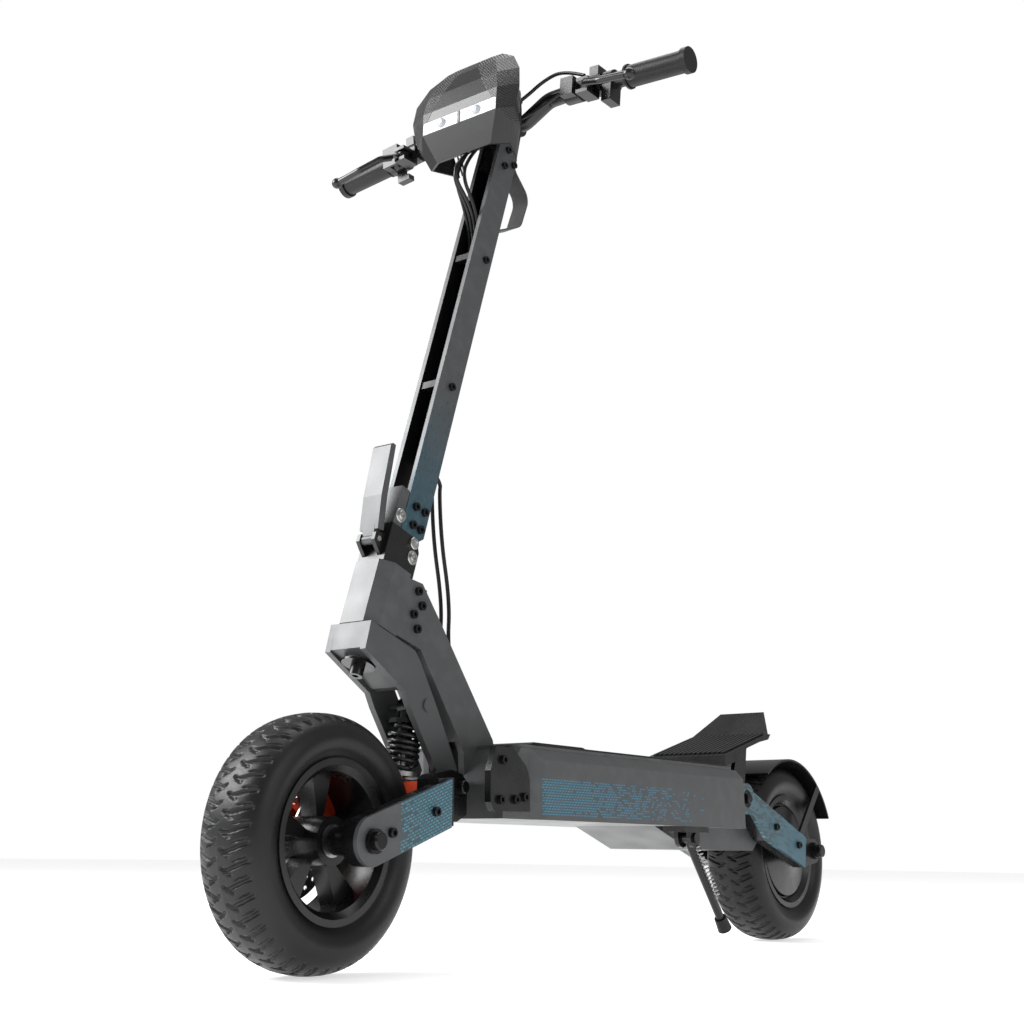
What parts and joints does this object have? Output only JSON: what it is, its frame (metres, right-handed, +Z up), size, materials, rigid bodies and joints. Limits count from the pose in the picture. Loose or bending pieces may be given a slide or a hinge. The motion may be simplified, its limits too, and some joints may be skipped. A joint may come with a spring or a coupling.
{
  "type": "electric kick scooter",
  "caption": "Folding stand-up electric scooter with plated stem, sprung swing arms, hub motor, light housing, deck with rear footrest and side stand.",
  "frame": {"origin": "on the ground, midway between the axles, under the middle of the deck", "axes": "+X is forward, +Y is the rider's left, +Z is up"},
  "size_m": [1.25, 0.6072, 1.166],
  "materials": {
    "frame_grey": "satin",
    "black_paint": "satin",
    "orange_red": "satin",
    "machined_rim": "machined",
    "bare_steel": "machined",
    "black_steel": "black oxide",
    "spring_steel": "gloss coat",
    "tyre_rubber": "matte",
    "grip_rubber": "matte",
    "deck_rubber": "matte textured",
    "black_plastic": "matte",
    "housing_plastic": "satin",
    "light_lens": "gloss",
    "tail_lens": "gloss",
    "battery_wrap": "matte",
    "webbing": "woven",
    "cable_jacket": "semi matte"
  },
  "bodies": {
    "frame": {"neck_yoke": "frame_grey", "head_tube": "frame_grey", "headset_bearings": "bare_steel", "deck_tray": "frame_grey", "deck_joint_plates": "black_paint", "deck_lid": "frame_grey", "deck_mat": "deck_rubber", "battery_pack": "battery_wrap", "motor_controller": "machined_rim", "rear_subframe": "frame_grey", "torsion_rubber": "grip_rubber", "footrest": "black_paint", "tail_light": "tail_lens", "kickstand_bracket": "black_paint", "frame_bolts": "black_steel", "rear_pivot_axle": "black_steel", "rear_cables": "cable_jacket"},
    "steerer": {"fork": "frame_grey", "steerer_bolt": "black_steel", "hinge_base": "black_paint", "front_pivot_axle": "black_steel", "hinge_pins": "bare_steel"},
    "damper_upper": {"front_damper_body": "black_steel", "front_spring": "spring_steel"},
    "damper_lower": {"front_damper_rod": "bare_steel"},
    "front_swing": {"front_arm": "black_paint", "front_arm_bridge": "orange_red", "front_arm_covers": "frame_grey", "front_axle": "black_steel", "front_caliper": "orange_red"},
    "front_wheel": {"front_tyre": "tyre_rubber", "front_rim": "black_paint", "front_bearings": "bare_steel", "front_disc": "bare_steel"},
    "rear_swing": {"rear_arm": "black_paint", "rear_arm_covers": "frame_grey", "rear_axle": "black_steel", "rear_mudguard": "black_plastic"},
    "rear_wheel": {"rear_tyre": "tyre_rubber", "rear_rim": "black_paint"},
    "stem": {"stem_frame": "frame_grey", "stem_hinge_block": "frame_grey", "stem_top_block": "black_paint", "stem_bolts": "black_steel", "handlebar": "black_paint", "light_housing": "housing_plastic", "headlight_lens": "light_lens", "display": "black_plastic", "grips": "grip_rubber", "brake_perches": "black_paint", "control_pods": "black_plastic", "strap": "webbing", "stem_cables": "cable_jacket"},
    "left_lever": {"brake_lever_left": "black_paint"},
    "right_lever": {"brake_lever_right": "black_paint"},
    "throttle": {"throttle_lever": "black_plastic"},
    "horn": {"horn_button": "tail_lens"},
    "latch": {"latch_lever": "frame_grey"},
    "kickstand": {"kickstand_leg": "black_paint", "kickstand_foot": "grip_rubber"}
  },
  "joints": [
    {"name": "steering", "type": "hinge", "parent": "frame", "child": "steerer", "pos_m": [0.425, 0, 0.347], "axis": [-0.309, 0, 0.9511], "range_deg": [-45, 45], "deforming": ["rear_cables"]},
    {"name": "stem_fold", "type": "hinge", "parent": "steerer", "child": "stem", "pos_m": [0.37351, 0, 0.43752], "axis": [0, -1, 0], "range_deg": [0, 80]},
    {"name": "front_suspension", "type": "hinge", "parent": "steerer", "child": "front_swing", "pos_m": [0.33, 0, 0.186], "axis": [0, -1, 0], "range_deg": [0, 10], "stiffness_Nm_per_rad": 310, "springref_deg": -5.73},
    {"name": "front_damper_swing", "type": "hinge", "parent": "steerer", "child": "damper_upper", "pos_m": [0.354, 0, 0.273], "axis": [0, -1, 0], "range_deg": [0, 4]},
    {"name": "front_damper_stroke", "type": "slide", "parent": "damper_upper", "child": "damper_lower", "axis": [-0.0895, 0, 0.996], "range_m": [0, 0.008], "deforming": ["front_spring"]},
    {"name": "front_wheel_spin", "type": "hinge", "parent": "front_swing", "child": "front_wheel", "pos_m": [0.4975, 0, 0.1275], "axis": [0, 1, 0], "continuous": true},
    {"name": "rear_suspension", "type": "hinge", "parent": "frame", "child": "rear_swing", "pos_m": [-0.285, 0, 0.195], "axis": [0, 1, 0], "range_deg": [0, 8], "stiffness_Nm_per_rad": 500, "springref_deg": -8.02},
    {"name": "rear_wheel_spin", "type": "hinge", "parent": "rear_swing", "child": "rear_wheel", "pos_m": [-0.4975, 0, 0.1275], "axis": [0, 1, 0], "continuous": true},
    {"name": "left_brake", "type": "hinge", "parent": "stem", "child": "left_lever", "pos_m": [0.206, 0.161, 1.0796], "axis": [0, 0, 1], "range_deg": [0, 18], "stiffness_Nm_per_rad": 0.6, "springref_deg": -8.59},
    {"name": "right_brake", "type": "hinge", "parent": "stem", "child": "right_lever", "pos_m": [0.206, -0.161, 1.0796], "axis": [0, 0, -1], "range_deg": [0, 18], "stiffness_Nm_per_rad": 0.6, "springref_deg": -8.59},
    {"name": "throttle_press", "type": "hinge", "parent": "stem", "child": "throttle", "pos_m": [0.177, -0.191, 1.09194], "axis": [0, -0.996, -0.089], "range_deg": [0, 30], "stiffness_Nm_per_rad": 0.15, "springref_deg": -11.46},
    {"name": "horn_press", "type": "slide", "parent": "stem", "child": "horn", "axis": [1, 0, 0], "range_m": [0, 0.0012], "stiffness_N_per_m": 400, "springref_m": -0.001},
    {"name": "latch_swing", "type": "hinge", "parent": "steerer", "child": "latch", "pos_m": [0.42453, 0, 0.45199], "axis": [0, 1, 0], "range_deg": [0, 80]},
    {"name": "kickstand_fold", "type": "hinge", "parent": "frame", "child": "kickstand", "pos_m": [-0.112, 0.085, 0.14], "axis": [0, 1, 0], "range_deg": [0, 48]}
  ],
  "couplings": [
    {"joint": "front_damper_swing", "follows": "front_suspension", "ratio": 0.02475},
    {"joint": "front_damper_stroke", "follows": "front_suspension", "m_per_rad": 0.03195}
  ]
}
